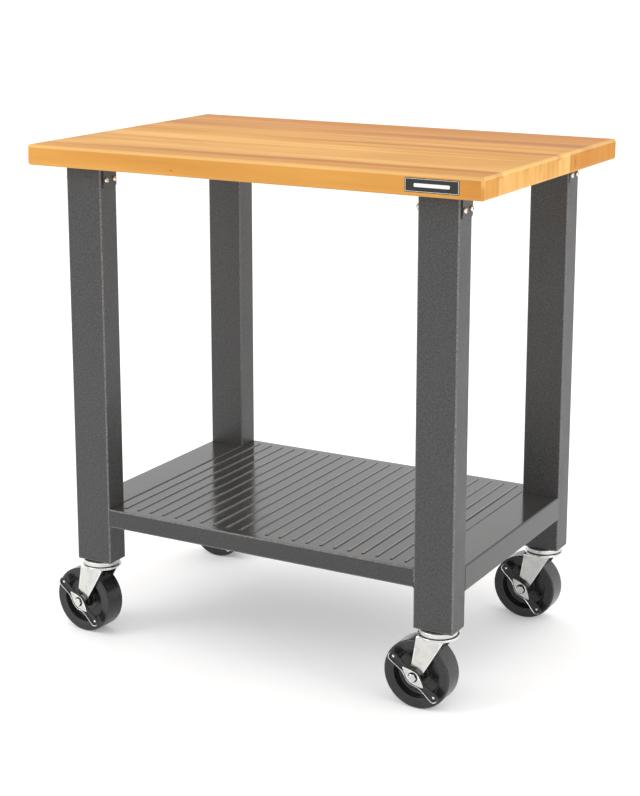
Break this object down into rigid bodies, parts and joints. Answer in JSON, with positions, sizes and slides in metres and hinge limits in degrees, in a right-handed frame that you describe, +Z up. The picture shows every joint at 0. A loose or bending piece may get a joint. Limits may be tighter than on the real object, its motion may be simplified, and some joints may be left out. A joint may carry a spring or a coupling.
{
  "type": "butcher block table",
  "caption": "Rolling work table: thick wood top on rectangular steel tube legs, a ribbed steel lower shelf, and swivel casters with side brake levers.",
  "frame": {"origin": "on the floor, under the middle of the wood top", "axes": "+X along the long side to the right as seen from the front, +Y from the front to the back, +Z up"},
  "size_m": [0.9144, 0.6101, 0.9525],
  "materials": {
    "maple": "clear satin lacquer over laminated staves",
    "frame_paint": "grey hammer-texture powder coat, semi-gloss",
    "zinc": "bright zinc plate",
    "plate": "black, satin",
    "wheel": "moulded black phenolic, glossy",
    "bush": "sintered bronze"
  },
  "bodies": {
    "root": {"tabletop": "maple", "nameplate": "plate", "leg_front_left": "frame_paint", "bracket_front_left": "frame_paint", "bracket_bolt_front_left_a": "zinc", "bracket_bolt_front_left_b": "zinc", "caster_stem_front_left": "zinc", "leg_front_right": "frame_paint", "bracket_front_right": "frame_paint", "bracket_bolt_front_right_a": "zinc", "bracket_bolt_front_right_b": "zinc", "caster_stem_front_right": "zinc", "leg_back_left": "frame_paint", "bracket_back_left": "frame_paint", "bracket_bolt_back_left_a": "zinc", "bracket_bolt_back_left_b": "zinc", "caster_stem_back_left": "zinc", "leg_back_right": "frame_paint", "bracket_back_right": "frame_paint", "bracket_bolt_back_right_a": "zinc", "bracket_bolt_back_right_b": "zinc", "caster_stem_back_right": "zinc", "side_beam_left": "frame_paint", "side_beam_right": "frame_paint", "shelf": "frame_paint", "shelf_screw_left_front": "zinc", "shelf_screw_left_back": "zinc", "shelf_screw_right_front": "zinc", "shelf_screw_right_back": "zinc"},
    "caster_front_left": {"fork_front_left": "zinc", "ball_ring_front_left": "zinc", "bush_front_left": "bush", "axle_bolt_front_left": "zinc", "axle_nut_front_left": "zinc"},
    "wheel_front_left": {"wheel_front_left": "wheel"},
    "brake_front_left": {"brake_lever_front_left": "zinc"},
    "caster_front_right": {"fork_front_right": "zinc", "ball_ring_front_right": "zinc", "bush_front_right": "bush", "axle_bolt_front_right": "zinc", "axle_nut_front_right": "zinc"},
    "wheel_front_right": {"wheel_front_right": "wheel"},
    "brake_front_right": {"brake_lever_front_right": "zinc"},
    "caster_back_left": {"fork_back_left": "zinc", "ball_ring_back_left": "zinc", "bush_back_left": "bush", "axle_bolt_back_left": "zinc", "axle_nut_back_left": "zinc"},
    "wheel_back_left": {"wheel_back_left": "wheel"},
    "brake_back_left": {"brake_lever_back_left": "zinc"},
    "caster_back_right": {"fork_back_right": "zinc", "ball_ring_back_right": "zinc", "bush_back_right": "bush", "axle_bolt_back_right": "zinc", "axle_nut_back_right": "zinc"},
    "wheel_back_right": {"wheel_back_right": "wheel"},
    "brake_back_right": {"brake_lever_back_right": "zinc"}
  },
  "joints": [
    {"name": "swivel_front_left", "type": "hinge", "parent": "root", "child": "caster_front_left", "pos_m": [-0.36, -0.2413, 0.141], "axis": [0, 0, 1], "continuous": true},
    {"name": "spin_front_left", "type": "hinge", "parent": "caster_front_left", "child": "wheel_front_left", "pos_m": [-0.39192, -0.23907, 0.0635], "axis": [0.0698, 0.9976, 0], "continuous": true},
    {"name": "brake_front_left", "type": "hinge", "parent": "caster_front_left", "child": "brake_front_left", "pos_m": [-0.39192, -0.23907, 0.0635], "axis": [0.0698, 0.9976, 0], "range_deg": [-11, 14]},
    {"name": "swivel_front_right", "type": "hinge", "parent": "root", "child": "caster_front_right", "pos_m": [0.36, -0.2413, 0.141], "axis": [0, 0, 1], "continuous": true},
    {"name": "spin_front_right", "type": "hinge", "parent": "caster_front_right", "child": "wheel_front_right", "pos_m": [0.328, -0.2413, 0.0635], "axis": [0, 1, 0], "continuous": true},
    {"name": "brake_front_right", "type": "hinge", "parent": "caster_front_right", "child": "brake_front_right", "pos_m": [0.328, -0.2413, 0.0635], "axis": [0, 1, 0], "range_deg": [-8, 17]},
    {"name": "swivel_back_left", "type": "hinge", "parent": "root", "child": "caster_back_left", "pos_m": [-0.36, 0.2413, 0.141], "axis": [0, 0, 1], "continuous": true},
    {"name": "spin_back_left", "type": "hinge", "parent": "caster_back_left", "child": "wheel_back_left", "pos_m": [-0.392, 0.2413, 0.0635], "axis": [0, 1, 0], "continuous": true},
    {"name": "brake_back_left", "type": "hinge", "parent": "caster_back_left", "child": "brake_back_left", "pos_m": [-0.392, 0.2413, 0.0635], "axis": [0, 1, 0], "range_deg": [-12, 13]},
    {"name": "swivel_back_right", "type": "hinge", "parent": "root", "child": "caster_back_right", "pos_m": [0.36, 0.2413, 0.141], "axis": [0, 0, 1], "continuous": true},
    {"name": "spin_back_right", "type": "hinge", "parent": "caster_back_right", "child": "wheel_back_right", "pos_m": [0.328, 0.2413, 0.0635], "axis": [0, 1, 0], "continuous": true},
    {"name": "brake_back_right", "type": "hinge", "parent": "caster_back_right", "child": "brake_back_right", "pos_m": [0.328, 0.2413, 0.0635], "axis": [0, 1, 0], "range_deg": [-18, 7]}
  ]
}
